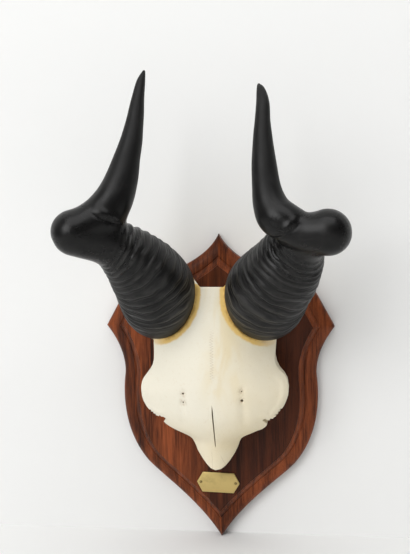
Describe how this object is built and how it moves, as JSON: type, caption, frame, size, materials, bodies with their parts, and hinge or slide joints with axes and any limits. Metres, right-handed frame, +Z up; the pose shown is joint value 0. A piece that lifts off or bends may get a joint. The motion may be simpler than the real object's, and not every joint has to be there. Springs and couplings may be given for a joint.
{
  "type": "mounted hartebeest skull",
  "caption": "Hartebeest skull cap with ridged, sharply bent horns, fixed on a moulded hardwood shield that hangs on a wall.",
  "frame": {"origin": "centre of the shield's flat back, half way between its top point and its lower tip", "axes": "+Z up along the shield, +Y into the wall, the face of the skull looks along -Y"},
  "size_m": [0.2681, 0.178, 0.4901],
  "materials": {
    "mahogany": "dark red-brown hardwood, satin varnish, grain running up the shield",
    "bone": "bleached bone, matt, ivory with ochre stain round the horns",
    "horn": "black keratin, ringed and satin at the base, glossier towards the tip",
    "brass": "brushed brass, slightly dulled",
    "steel": "plain zinc plated steel"
  },
  "bodies": {
    "root": {"plaque": "mahogany", "skull_plate": "bone", "horn_left": "horn", "horn_right": "horn", "label_plate": "brass", "label_pin_left": "brass", "label_pin_right": "brass", "hanger_plate": "steel", "hanger_screw_left": "steel", "hanger_screw_right": "steel", "skull_screw_upper": "steel", "skull_screw_left": "steel", "skull_screw_right": "steel"}
  },
  "joints": []
}
